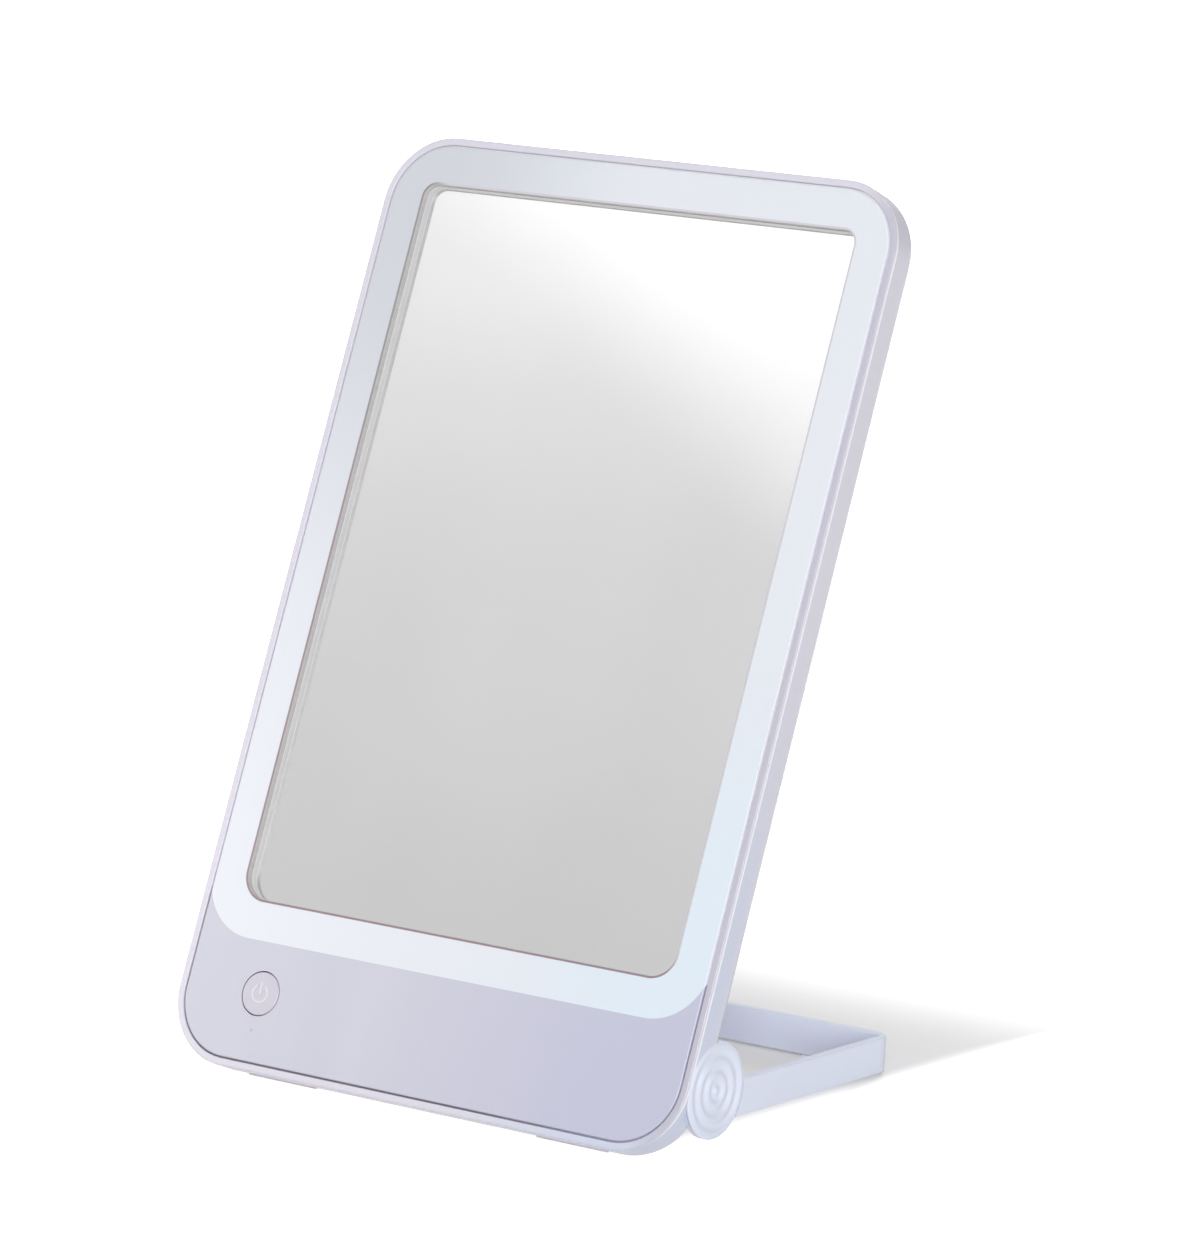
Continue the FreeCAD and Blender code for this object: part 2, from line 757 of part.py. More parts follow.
def battery_cell():
    """A flat pouch cell with softened long edges and a sealed lip at its lower end."""
    back = floor_face - battery_tape_thickness
    front = back - battery_thickness
    top = battery_base_height + battery_height
    cell = block(-battery_width / 2, battery_width / 2, front, back,
                 battery_base_height + battery_seal_height, top)
    long_edges = [edge for edge in cell.Edges if abs(edge.tangentAt(edge.FirstParameter).z) > same_point]
    cell = cell.makeFillet(battery_edge_radius, long_edges)
    lip_half = battery_width / 2 - battery_edge_radius
    lip = block(-lip_half, lip_half, back - battery_seal_thickness, back, battery_base_height,
                battery_base_height + battery_seal_height)
    return cell.fuse(lip).removeSplitter()


def battery_tape():
    half = battery_width / 2 - battery_tape_inset
    return block(-half, half, floor_face - battery_tape_thickness, floor_face,
                 battery_base_height + battery_tape_inset,
                 battery_base_height + battery_height - battery_tape_inset)


def battery_lead(number):
    """One insulated lead from the cell's lower end to the back of the board."""
    y = board_back + lead_radius
    start_x = -number * lead_pitch
    end_x = board_right_x - lead_board_inset - number * lead_pitch
    end_z = board_high_height - lead_board_overlap
    turn_low = board_high_height + lead_drop / 2
    turn_high = battery_base_height - lead_drop
    points = [vec(start_x, y, battery_base_height), vec(start_x, y, turn_high),
              vec(end_x, y, turn_low), vec(end_x, y, end_z)]
    return bent_wire(points, lead_bend, lead_radius)


def battery_leads():
    return [battery_lead(number) for number in range(lead_count)]


def hinge_cap(side):
    """A round cap whose face ripples out from its middle in even rings, with a softened edge."""
    crest = cap_seat_depth + cap_proud
    middle = crest - cap_wave
    valley = middle - cap_wave
    inner = cap_half_wave / 2
    slant = math.sqrt(0.5)
    centre_turn = 4 * math.atan(cap_wave / inner)
    centre_arc_radius = inner / math.sin(centre_turn / 2)
    centre_middle = vec(crest - centre_arc_radius * (1 - math.cos(centre_turn / 4)), 0,
                        centre_arc_radius * math.sin(centre_turn / 4))
    edges = [Part.Arc(vec(crest, 0, 0), centre_middle, vec(middle, 0, inner)).toShape()]
    for number in range(2 * cap_ring_count):
        outer = inner + cap_half_wave
        turning = valley if number % 2 == 0 else crest
        edges.append(Part.Arc(vec(middle, 0, inner), vec(turning, 0, (inner + outer) / 2),
                              vec(middle, 0, outer)).toShape())
        inner = outer
    shoulder = middle - cap_edge_radius
    edges.append(Part.Arc(vec(middle, 0, inner),
                          vec(shoulder + cap_edge_radius * slant, 0, inner + cap_edge_radius * slant),
                          vec(shoulder, 0, cap_radius)).toShape())
    edges.append(Part.makeLine(vec(shoulder, 0, cap_radius), vec(0, 0, cap_radius)))
    edges.append(Part.makeLine(vec(0, 0, cap_radius), vec(0, 0, 0)))
    edges.append(Part.makeLine(vec(0, 0, 0), vec(crest, 0, 0)))
    cap = Part.Face(Part.Wire(edges)).revolve(vec(0, 0, 0), X_AXIS, 360)
    if side < 0:
        cap.rotate(vec(0, 0, 0), Z_AXIS, 180)
    cap.translate(vec(side * (half_width - cap_seat_depth), pivot_depth, pivot_height))
    return cap


def hinge_pin(side):
    return hinge_rod(side, cap_seat_depth, lug_inner - pin_cover, pin_radius)


def friction_washer(side):
    outer = hinge_rod(side, eye_inner + hinge_side_gap, lug_outer - hinge_side_gap, washer_radius)
    return outer.cut(hinge_rod(side, eye_inner, lug_outer, pin_radius + washer_bore_gap))


def to_slab(shape):
    """Moves a shape from the stand's own frame, pivot at zero and arms along Y, into the slab's."""
    placed = turned(shape, stand_turn, vec(0, 0, 0))
    placed.translate(vec(0, pivot_depth, pivot_height))
    return placed


def stand_rod(side, inset_from, inset_to, radius):
    """A cylinder on the pivot in the stand's own frame."""
    x0, x1 = sorted((side * (half_width - inset_from), side * (half_width - inset_to)))
    return Part.makeCylinder(radius, x1 - x0, vec(x0, 0, 0), X_AXIS)


def bail_plan(half, reach, corner_radius, y0):
    """A U in plan, closed at the rear with rounded corners, as a flat face."""
    slant = corner_radius * (1 - math.sqrt(0.5))
    z = -band_below_pivot
    near_left = vec(-half, y0, z)
    near_right = vec(half, y0, z)
    arc_right = [vec(half, reach - corner_radius, z), vec(half - slant, reach - slant, z),
                 vec(half - corner_radius, reach, z)]
    arc_left = [vec(corner_radius - half, reach, z), vec(slant - half, reach - slant, z),
                vec(-half, reach - corner_radius, z)]
    edges = [Part.makeLine(near_left, near_right), Part.makeLine(near_right, arc_right[0]),
             Part.Arc(*arc_right).toShape(), Part.makeLine(arc_right[2], arc_left[0]),
             Part.Arc(*arc_left).toShape(), Part.makeLine(arc_left[2], near_left)]
    return Part.Face(Part.Wire(edges))


def stand_neck(side):
    """The thick start of an arm behind its ear, which runs out to the arm's own thickness."""
    outer_x = side * (half_width - eye_outer)
    arm_x = side * (half_width - arm_inner)
    inner_x = side * (half_width - eye_inner)
    ramp_start = neck_length - (eye_inner - arm_inner)
    z = -band_below_pivot
    corners = [vec(outer_x, -heel, z), vec(inner_x, -heel, z), vec(inner_x, ramp_start, z),
               vec(arm_x, neck_length, z), vec(outer_x, neck_length, z)]
    outline = Part.makePolygon(corners + corners[:1])
    return Part.Face(outline).extrude(vec(0, 0, band_height))


def stand_pad(x):
    """One rubber pad under the rear bar, level with the floor."""
    pad = block(x - pad_width / 2, x + pad_width / 2, -pad_edge - pad_depth, -pad_edge,
                -pad_stand, pad_sunk)
    pad = turned(pad, -arm_slope, vec(0, 0, 0))
    pad.translate(vec(0, arm_length, -band_below_pivot))
    return pad


def stand_pads_local():
    return [stand_pad(side * pad_spacing / 2) for side in SIDES.values()]


def stand_bail():
    """A band bent into a U. Each arm steps inward at its eye, behind the ear, and ends in a heel."""
    outer_half = half_width - arm_inset
    up = vec(0, 0, band_height)
    band = bail_plan(outer_half, arm_length, bail_outer_radius, -heel).extrude(up)
    inner = bail_plan(half_width - arm_inner, arm_length - bar_thickness, bail_inner_radius,
                      -heel - overrun).extrude(up)
    band = band.cut(inner)
    long_edges = [edge for edge in band.Edges
                  if abs(edge.CenterOfMass.z - band_above_pivot) < same_point
                  or abs(edge.CenterOfMass.z + band_below_pivot) < same_point]
    long_edges = [edge for edge in long_edges if edge.CenterOfMass.y > 0]
    band = band.makeFillet(bail_edge_radius, long_edges)
    cuts = [stand_rod(side, -overrun, eye_outer, ear_radius + ear_clearance) for side in SIDES.values()]
    band = band.cut(cuts)
    eyes = [stand_rod(side, eye_outer, eye_inner, eye_radius) for side in SIDES.values()]
    necks = [stand_neck(side) for side in SIDES.values()]
    band = band.fuse(eyes + necks).removeSplitter()
    holes = [stand_rod(side, -overrun, eye_inner + overrun, pin_radius + pin_running_gap)
             for side in SIDES.values()]
    return band.cut(holes + stand_pads_local())


def standing(shape):
    """Leans an upright shape back and sets it down on the floor, with the origin under its middle."""
    place = FreeCAD.Placement(vec(0, -middle_y, -floor_level), FreeCAD.Rotation(X_AXIS, -lean_angle))
    solid = shape.copy()
    solid.transformShape(place.toMatrix(), True)
    return solid


def upright_parts():
    """Every node by name: a solid, or a list of separate solids."""
    parts = {
        "rear_shell": rear_shell(),
        "light_frame": light_frame(),
        "chin_cover": chin_cover(),
        "mirror_glass": mirror_glass(),
        "mirror_tape": mirror_tape(),
        "inner_frame": inner_frame(),
        "frame_screws": frame_screws(),
        "led_strip_left": side_strip(-1),
        "led_strip_right": side_strip(1),
        "led_strip_top": end_strip(strip_top_height),
        "led_strip_bottom": end_strip(strip_low_height),
        "led_chips": led_chips(),
        "strip_jumpers": strip_jumpers(),
        "led_header": led_header(),
        "control_board": control_board(),
        "board_screws": board_screws(),
        "usb_socket": usb_socket(),
        "tact_switch": tact_switch(),
        "switch_plunger": switch_plunger(),
        "power_button": power_button(),
        "charge_led": charge_led(),
        "indicator_lens": indicator_lens(),
        "battery_cell": battery_cell(),
        "battery_tape": battery_tape(),
        "battery_leads": battery_leads(),
        "base_feet": base_feet(),
        "stand_bail": to_slab(stand_bail()),
        "stand_pads": [to_slab(pad) for pad in stand_pads_local()],
    }
    for name, side in SIDES.items():
        parts["hinge_cap_" + name] = hinge_cap(side)
        parts["hinge_pin_" + name] = hinge_pin(side)
        parts["friction_washer_" + name] = friction_washer(side)
    return parts


def main():
    os.makedirs("parts", exist_ok=True)
    for name, shape in upright_parts().items():
        whole = Part.makeCompound(shape) if isinstance(shape, list) else shape
        solid = standing(whole)
        solid.exportStep("parts/" + name + ".step")
        print(name, len(solid.Solids), solid.isValid(), round(solid.Volume, 1))
    print("arm slope", round(arm_slope, 3), "stand turn", round(stand_turn, 3))
    pivot_y = pivot_height * math.sin(lean) + pivot_depth * math.cos(lean) - middle_y
    print("pivot y", round(pivot_y, 4), "pivot z", round(pivot_level, 4), "middle y", round(middle_y, 4))


main()
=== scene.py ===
import bmesh
import bpy
import math
from mathutils import Matrix, Vector


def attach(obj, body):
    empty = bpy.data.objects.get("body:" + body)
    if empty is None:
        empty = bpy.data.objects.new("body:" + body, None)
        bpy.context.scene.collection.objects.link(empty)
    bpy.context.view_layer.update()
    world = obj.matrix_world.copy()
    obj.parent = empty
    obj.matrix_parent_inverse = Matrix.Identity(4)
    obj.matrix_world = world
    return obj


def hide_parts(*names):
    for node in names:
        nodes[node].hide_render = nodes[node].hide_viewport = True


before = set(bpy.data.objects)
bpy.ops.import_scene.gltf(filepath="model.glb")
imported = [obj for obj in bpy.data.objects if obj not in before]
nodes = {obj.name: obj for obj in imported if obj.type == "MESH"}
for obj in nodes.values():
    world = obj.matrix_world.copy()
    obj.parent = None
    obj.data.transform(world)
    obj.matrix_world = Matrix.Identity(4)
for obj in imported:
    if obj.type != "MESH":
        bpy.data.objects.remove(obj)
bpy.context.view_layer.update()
scene = bpy.context.scene

# Sizes in metres. The slab's own frame has X across it, Y from its front to its back and Z up it,
# with its origin at the middle of its lower front edge.
MM = 0.001
slab_lean = math.radians(25.5)
slab_origin = Vector((0.0, -48.9532, 3.0005)) * MM
slab_to_row = Matrix.Translation(slab_origin) @ Matrix.Rotation(-slab_lean, 4, "X")
row_to_slab = slab_to_row.inverted()

slab_half_width = 66.5 * MM
side_band = 10.55 * MM
opening_half = slab_half_width - side_band
opening_low = 36.9 * MM
opening_high = 199.0 * MM
opening_lower_radius = 5.7 * MM
opening_upper_radius = 3.0 * MM
panel_thickness = 1.6 * MM
panel_skin = 0.12 * MM
# The lip round the mirror and its painted shade: the lip's width, the depths over which the painted shade
# turns grey, how far from the left and lower edges its darkest part fades, and the height where it is full
# grey
lip_width = 0.55 * MM
lip_skin = 0.05 * MM
lip_sunk = 0.16 * MM
lip_fade_from = 1.0 * MM
lip_fade_to = 6.0 * MM
lip_grey_height = 159.0 * MM
# The painted shade in a let-in plate's seam: the depths where it starts and is full, and where along X it
# passes to its paler right-hand tone
seam_shade_from = 0.15 * MM
seam_shade_to = 0.35 * MM
seam_shade_lighter_from = 15.0 * MM
seam_shade_lighter_to = 58.0 * MM
mirror_lap = 1.8 * MM
mirror_corner = 4.0 * MM
button_place = Vector((-44.7, -0.2, 16.9)) * MM

# The noise behind drifts and grains: its detail, and the span that nearly all of its values lie in
noise_detail = 2.0
noise_low = 0.2
noise_high = 0.8

# Painted light and shade. The lit band is painted darker at its upper left corner. Band, shell and chin are
# painted bluer at the lower right, and the shell and chin darker there too: a painted cool shade. The
# shell's right rim is painted darker in front, a painted shade, and paler on its rounded edge, a painted
# highlight.
# Each tone has its place, its reach and its colour. It is full within one share of its reach
# and gone at another.
corner_full = 0.15
corner_gone = 1.15
band_painted_light = ((Vector((-61.0, 0.0, 204.0)) * MM, Vector((56.0, 1000.0, 104.0)) * MM, "#C5C9D0"),
                (Vector((61.0, 0.0, 31.0)) * MM, Vector((48.0, 1000.0, 80.0)) * MM, "#D1DDE7"))
shell_painted_light = ((Vector((66.5, 1.5, 12.0)) * MM, Vector((60.0, 7.5, 95.0)) * MM, "#C6CDE0"),
                 (Vector((66.5, -0.05, 110.0)) * MM, Vector((12.0, 0.7, 2000.0)) * MM, "#BBBAC7"),
                 (Vector((66.5, 0.65, 110.0)) * MM, Vector((8.0, 0.38, 2000.0)) * MM, "#F6F4FA"))
chin_painted_light = ((Vector((66.5, 0.0, 10.0)) * MM, Vector((75.0, 1000.0, 80.0)) * MM, "#BCBDD1"),)


def linear(colour):
    """An sRGB hex colour as the linear values that a shader takes."""
    values = [int(colour[start:start + 2], 16) / 255 for start in (1, 3, 5)]
    return [v / 12.92 if v <= 0.04045 else ((v + 0.055) / 1.055) ** 2.4 for v in values] + [1.0]


def add(tree, kind, settings=None, inputs=None):
    """Adds a node with its settings. Each input takes a value, or a link from another node's output."""
    node = tree.nodes.new(kind)
    for name, value in (settings or {}).items():
        setattr(node, name, value)
    for name, value in (inputs or {}).items():
        if isinstance(value, bpy.types.NodeSocket):
            tree.links.new(value, node.inputs[name])
        else:
            node.inputs[name].default_value = value
    return node


def start_material(name):
    """An empty material and the row's own coordinates in metres."""
    material = bpy.data.materials.new(name)
    material.use_nodes = True
    tree = material.node_tree
    tree.nodes.clear()
    return material, tree, add(tree, "ShaderNodeTexCoord").outputs["Object"]


def finish_material(tree, inputs):
    """Ends a material's tree with its one shader."""
    shader = add(tree, "ShaderNodeBsdfPrincipled", None, inputs)
    add(tree, "ShaderNodeOutputMaterial", None, {"Surface": shader.outputs["BSDF"]})


def patches(tree, place, sizes_mm, low, high):
    """A slow drift between two values, with patches of a size in millimetres along X, Y and Z."""
    spread = add(tree, "ShaderNodeMapping", None,
                 {"Vector": place, "Scale": [1 / (size * MM) for size in sizes_mm]})
    cloud = add(tree, "ShaderNodeTexNoise", None,
                {"Vector": spread.outputs["Vector"], "Scale": 1.0, "Detail": noise_detail})
    level = add(tree, "ShaderNodeMapRange", None,
                {"Value": cloud.outputs["Fac"], "From Min": noise_low, "From Max": noise_high,
                 "To Min": low, "To Max": high})
    return level.outputs["Result"]


def drifting_colour(tree, place, sizes_mm, pale, deep):
    """A slow drift between two near colours."""
    share = patches(tree, place, sizes_mm, 0.0, 1.0)
    mix = add(tree, "ShaderNodeMix", {"data_type": "RGBA"}, {0: share, 6: linear(pale), 7: linear(deep)})
    return mix.outputs[2]


def fine_grain(tree, place, size_mm, depth_mm):
    """The normal of a shallow grain in the surface."""
    grain = add(tree, "ShaderNodeTexNoise", None,
                {"Vector": place, "Scale": 1 / (size_mm * MM), "Detail": noise_detail})
    bump = add(tree, "ShaderNodeBump", None,
               {"Height": grain.outputs["Fac"], "Distance": depth_mm * MM, "Strength": 1.0})
    return bump.outputs["Normal"]


def slab_places(tree, place):
    """A point's place in the slab's own frame, whole and split into X, Y and Z."""
    turn = add(tree, "ShaderNodeMapping", None,
               {"Vector": place, "Location": row_to_slab.translation, "Rotation": row_to_slab.to_euler()})
    point = turn.outputs["Vector"]
    return point, add(tree, "ShaderNodeSeparateXYZ", None, {"Vector": point})


def painted_light_tones(tree, point, colour, painted_tones):
    """Painted light and shade: a colour that passes slowly into another tone, lighter, darker or bluer,
    round each of some places.
    """
    for corner, spans, tone in painted_tones:
        away = add(tree, "ShaderNodeVectorMath", {"operation": "SUBTRACT"}, {0: point, 1: corner})
        shares = add(tree, "ShaderNodeVectorMath", {"operation": "DIVIDE"},
                     {0: away.outputs["Vector"], 1: spans})
        distance = add(tree, "ShaderNodeVectorMath", {"operation": "LENGTH"}, {0: shares.outputs["Vector"]})
        share = add(tree, "ShaderNodeMapRange", {"interpolation_type": "SMOOTHSTEP"},
                    {"Value": distance.outputs["Value"], "From Min": corner_full, "From Max": corner_gone,
                     "To Min": 1.0, "To Max": 0.0})
        colour = add(tree, "ShaderNodeMix", {"data_type": "RGBA"},
                     {0: share.outputs["Result"], 6: colour, 7: linear(tone)}).outputs[2]
    return colour


def moulded_abs(name, pale, deep, streak_mm, rough, grain_mm, depth_mm, painted_tones=(), seam_shade=None):
    """ABS from a lightly etched mould: a pale, even satin, with faint streaks where the melt flowed.
    A plate that is let into the slab has painted shade in its seam, least at the right, and given places
    take tones of painted light and shade."""
    gloss_patch_mm = (25.0, 25.0, 25.0)
    gloss_drift = 0.015
    material, tree, place = start_material(name)
    colour = drifting_colour(tree, place, streak_mm, pale, deep)
    if painted_tones or seam_shade:
        point, slab = slab_places(tree, place)
        colour = painted_light_tones(tree, point, colour, painted_tones)
    if seam_shade:
        seam_shade_left, seam_shade_right = seam_shade
        sunk = add(tree, "ShaderNodeMapRange", None,
                   {"Value": slab.outputs["Y"], "From Min": seam_shade_from, "From Max": seam_shade_to})
        share = add(tree, "ShaderNodeMapRange", None,
                    {"Value": slab.outputs["X"], "From Min": seam_shade_lighter_from, "From Max": seam_shade_lighter_to})
        tone = add(tree, "ShaderNodeMix", {"data_type": "RGBA"},
                   {0: share.outputs["Result"], 6: linear(seam_shade_left), 7: linear(seam_shade_right)})
        colour = add(tree, "ShaderNodeMix", {"data_type": "RGBA"},
                     {0: sunk.outputs["Result"], 6: colour, 7: tone.outputs[2]}).outputs[2]
    finish_material(tree, {
        "Base Color": colour,
        "Roughness": patches(tree, place, gloss_patch_mm, rough - gloss_drift, rough + gloss_drift),
        "Normal": fine_grain(tree, place, grain_mm, depth_mm),
        "IOR": 1.53})
    return material


def lit_opal_acrylic():
    """Acrylic with a white filler, moulded and lit from behind: a cool white, even but for painted light
    and shade. A little light leaks from its edges and back. Painted shade darkens its lip round the mirror,
    most of all at the left and below, and greys its sunk faces. Its upper left corner is painted darker and
    its lower right painted bluer."""
    face_glow = 0.03
    edge_glow = 0.13
    back_glow = 0.60
    material, tree, place = start_material("opal_acrylic_lit_from_behind")
    point, slab = slab_places(tree, place)
    middle = (opening_low + opening_high) / 2
    half_height = (opening_high - opening_low) / 2
    radius = add(tree, "ShaderNodeMapRange", None,
                 {"Value": slab.outputs["Z"], "From Min": middle - MM, "From Max": middle + MM,
                  "To Min": opening_lower_radius, "To Max": opening_upper_radius}).outputs["Result"]
    # How far a point lies outside the opening's rounded edge, with its depth left out
    offset = add(tree, "ShaderNodeVectorMath", {"operation": "SUBTRACT"}, {0: point, 1: (0.0, 0.0, middle)})
    apart = add(tree, "ShaderNodeVectorMath", {"operation": "ABSOLUTE"}, {0: offset.outputs["Vector"]})
    past = add(tree, "ShaderNodeVectorMath", {"operation": "SUBTRACT"},
               {0: apart.outputs["Vector"], 1: (opening_half, 1.0, half_height)})
    eased = add(tree, "ShaderNodeVectorMath", {"operation": "ADD"}, {0: past.outputs["Vector"], 1: radius})
    beyond = add(tree, "ShaderNodeVectorMath", {"operation": "MAXIMUM"},
                 {0: eased.outputs["Vector"], 1: (0.0, 0.0, 0.0)})
    reach = add(tree, "ShaderNodeVectorMath", {"operation": "LENGTH"}, {0: beyond.outputs["Vector"]})
    from_opening = add(tree, "ShaderNodeMath", {"operation": "SUBTRACT"},
                       {0: reach.outputs["Value"], 1: radius})
    lip = add(tree, "ShaderNodeMath", {"operation": "LESS_THAN"},
              {0: from_opening.outputs[0], 1: lip_width})
    sunk = add(tree, "ShaderNodeMath", {"operation": "GREATER_THAN"}, {0: slab.outputs["Y"], 1: panel_skin})
    back = add(tree, "ShaderNodeMath", {"operation": "GREATER_THAN"},
               {0: slab.outputs["Y"], 1: panel_thickness - panel_skin})
    edge = add(tree, "ShaderNodeMath", {"operation": "SUBTRACT", "use_clamp": True},
               {0: sunk.outputs[0], 1: lip.outputs[0]})
    # Painted shade on the lip: darkest near the left and lower edges, turning from mauve to grey upwards,
    # pale grey at the right and top, and grey deeper in. The other sunk faces take a paler painted grey.
    at_left = add(tree, "ShaderNodeMapRange", None,
                  {"Value": slab.outputs["X"], "From Min": lip_fade_from - opening_half,
                   "From Max": lip_fade_to - opening_half, "To Min": 1.0, "To Max": 0.0})
    at_low = add(tree, "ShaderNodeMapRange", None,
                 {"Value": slab.outputs["Z"], "From Min": opening_low + lip_fade_from,
                  "From Max": opening_low + lip_fade_to, "To Min": 1.0, "To Max": 0.0})
    darkest_painted_shade = add(tree, "ShaderNodeMath", {"operation": "MAXIMUM"},
                  {0: at_left.outputs["Result"], 1: at_low.outputs["Result"]})
    depth = add(tree, "ShaderNodeMapRange", None,
                {"Value": slab.outputs["Y"], "From Min": lip_skin, "From Max": lip_sunk})
    body = drifting_colour(tree, place, (60.0, 90.0, 90.0), "#D9DDE3", "#D6DAE2")
    body = painted_light_tones(tree, point, body, band_painted_light)
    height = add(tree, "ShaderNodeMapRange", None,
                 {"Value": slab.outputs["Z"], "From Min": middle, "From Max": lip_grey_height})
    lip_painted_shade = add(tree, "ShaderNodeMix", {"data_type": "RGBA"},
                   {0: height.outputs["Result"], 6: linear("#8E7982"), 7: linear("#86848A")})
    front_lip = add(tree, "ShaderNodeMix", {"data_type": "RGBA"},
                    {0: darkest_painted_shade.outputs[0], 6: linear("#C6C2CA"), 7: lip_painted_shade.outputs[2]})
    lip_tone = add(tree, "ShaderNodeMix", {"data_type": "RGBA"},
                   {0: depth.outputs["Result"], 6: front_lip.outputs[2], 7: linear("#BEBDBC")})
    edged = add(tree, "ShaderNodeMix", {"data_type": "RGBA"},
                {0: edge.outputs[0], 6: body, 7: linear("#D0D0D9")})
    colour = add(tree, "ShaderNodeMix", {"data_type": "RGBA"},
                 {0: lip.outputs[0], 6: edged.outputs[2], 7: lip_tone.outputs[2]})
    leak = add(tree, "ShaderNodeMath", {"operation": "MULTIPLY"}, {0: edge.outputs[0], 1: edge_glow})
    back_light = add(tree, "ShaderNodeMath", {"operation": "MULTIPLY"}, {0: back.outputs[0], 1: back_glow})
    lit = add(tree, "ShaderNodeMath", {"operation": "MAXIMUM"},
              {0: leak.outputs[0], 1: back_light.outputs[0]})
    strength = add(tree, "ShaderNodeMath", {"operation": "MAXIMUM"}, {0: lit.outputs[0], 1: face_glow})
    finish_material(tree, {
        "Base Color": colour.outputs[2],
        "Emission Color": linear("#F4F3F3"),
        "Emission Strength": strength.outputs[0],
        "Roughness": patches(tree, place, (60.0, 60.0, 60.0), 0.37, 0.41),
        "Normal": fine_grain(tree, place, 0.8, 0.0008),
        "IOR": 1.49})
    return material


def clear_float_glass():
    """Float glass: clear and flat, with a trace of haze from handling."""
    material, tree, place = start_material("clear_float_glass")
    finish_material(tree, {
        "Base Color": drifting_colour(tree, place, (60.0, 60.0, 60.0), "#FCFCFC", "#F9F9F9"),
        "Roughness": patches(tree, place, (18.0, 18.0, 18.0), 0.004, 0.020),
        "Transmission Weight": 1.0,
        "IOR": 1.52})
    return material


def wet_silvered_coat():
    """Silver laid on glass from a bath: a clean, neutral mirror."""
    material, tree, place = start_material("wet_silvered_coat")
    finish_material(tree, {
        "Base Color": drifting_colour(tree, place, (50.0, 50.0, 50.0), "#FBFBFC", "#F7F7F8"),
        "Roughness": patches(tree, place, (22.0, 22.0, 22.0), 0.004, 0.022),
        "Metallic": 1.0})
    return material


def plain_finish(name, pale, deep, rough, size_mm, grain_mm, depth_mm, constants):
    """A small piece's own material: a drift of colour, uneven gloss and a grain."""
    smooth = rough * 0.85
    coarse = min(1.0, rough * 1.15)
    material, tree, place = start_material(name)
    sizes_mm = (size_mm, size_mm, size_mm)
    finish_material(tree, {
        "Base Color": drifting_colour(tree, place, sizes_mm, pale, deep),
        "Roughness": patches(tree, place, sizes_mm, smooth, coarse),
        "Normal": fine_grain(tree, place, grain_mm, depth_mm),
        **constants})
    return material


def dress(material, *names):
    """Gives CAD nodes a material."""
    for name in names:
        mesh = nodes[name].data
        mesh.materials.clear()
        mesh.materials.append(material)


# Streaks in millimetres along X, Y and Z: even on the large pieces, upright on the chin,
# and small on the button and its sign
even = (35.0, 35.0, 35.0)
upright = (13.0, 80.0, 80.0)
small = (6.0, 6.0, 6.0)
# Painted light and shade on the shell: a darker, bluer lower right, and on its right rim a darker front and
# a paler rounded edge
shell_abs = moulded_abs("satin_abs_shell", "#D4D1DC", "#D0CEDA", even, 0.26, 0.7, 0.0025, shell_painted_light)
# Painted shade on the chin: a darker, bluer lower right, and a dark seam that is paler at the right
chin_abs = moulded_abs("satin_abs_chin", "#C6C6D2", "#C1C2D0", upright, 0.30, 0.8, 0.0012, chin_painted_light,
                       seam_shade=("#77747F", "#A7A6B6"))
button_abs = moulded_abs("satin_abs_button", "#C6C3CE", "#C2C0CC", small, 0.28, 0.8, 0.0010)
dress(shell_abs, "rear_shell")
dress(chin_abs, "chin_cover")
dress(button_abs, "power_button")
# The stand and the caps share one plastic, bluer than the shell's
stand_abs = moulded_abs("satin_abs_stand", "#DBE1F0", "#D8DEEE", even, 0.32, 0.7, 0.0020)
dress(stand_abs, "stand_bail")
dress(lit_opal_acrylic(), "light_frame")

# Moulded silicone: matt and a shade paler than the shell
dress(plain_finish("matt_silicone_rubber", "#F0EBF2", "#EBE6EE", 0.75, 3.0, 0.4, 0.004, {"IOR": 1.42}),
      "base_feet", "stand_pads")
# A smoked acrylic light pipe: a small dull dot until its light is on
dress(plain_finish("smoked_acrylic_pipe", "#C4BBC6", "#BBB2BE", 0.25, 1.0, 0.3, 0.0005, {"IOR": 1.49}),
      "indicator_lens")
# Stamped, nickel-plated steel: grey with a soft sheen
dress(plain_finish("nickel_plated_steel", "#B9B9BC", "#AEAEB2", 0.32, 2.0, 0.2, 0.001, {"Metallic": 1.0}),
      "usb_socket", "frame_screws", "board_screws", "hinge_pin_left", "hinge_pin_right")
# Glass-fibre board under a green or white solder mask: a thin, smooth lacquer
dress(plain_finish("green_solder_mask", "#1F6B3A", "#1A6034", 0.40, 4.0, 0.5, 0.002, {"IOR": 1.55}),
      "control_board")
dress(plain_finish("white_solder_mask", "#EDEDE9", "#E6E6E2", 0.45, 4.0, 0.5, 0.002, {"IOR": 1.55}),
      "led_strip_left", "led_strip_right", "led_strip_top", "led_strip_bottom")
# Silicone with a yellow phosphor, cast over a light chip: a soft, waxy yellow
dress(plain_finish("phosphor_silicone", "#F1DD7A", "#EAD569", 0.35, 1.0, 0.2, 0.001, {"IOR": 1.42}),
      "led_chips", "charge_led")
# Extruded soft PVC: a plain red with a low sheen
dress(plain_finish("red_pvc_insulation", "#B5342C", "#A92E27", 0.45, 3.0, 0.3, 0.002, {"IOR": 1.53}),
      "strip_jumpers", "battery_leads")
# Brass pins with a gold plate: warm and bright
dress(plain_finish("gold_plated_brass", "#DDBB63", "#D2AF58", 0.28, 1.0, 0.2, 0.001, {"Metallic": 1.0}),
      "led_header")
# Moulded glass-filled nylon: a dry black
dress(plain_finish("black_nylon", "#232323", "#1D1D1E", 0.50, 1.5, 0.3, 0.003, {"IOR": 1.53}),
      "tact_switch", "switch_plunger")
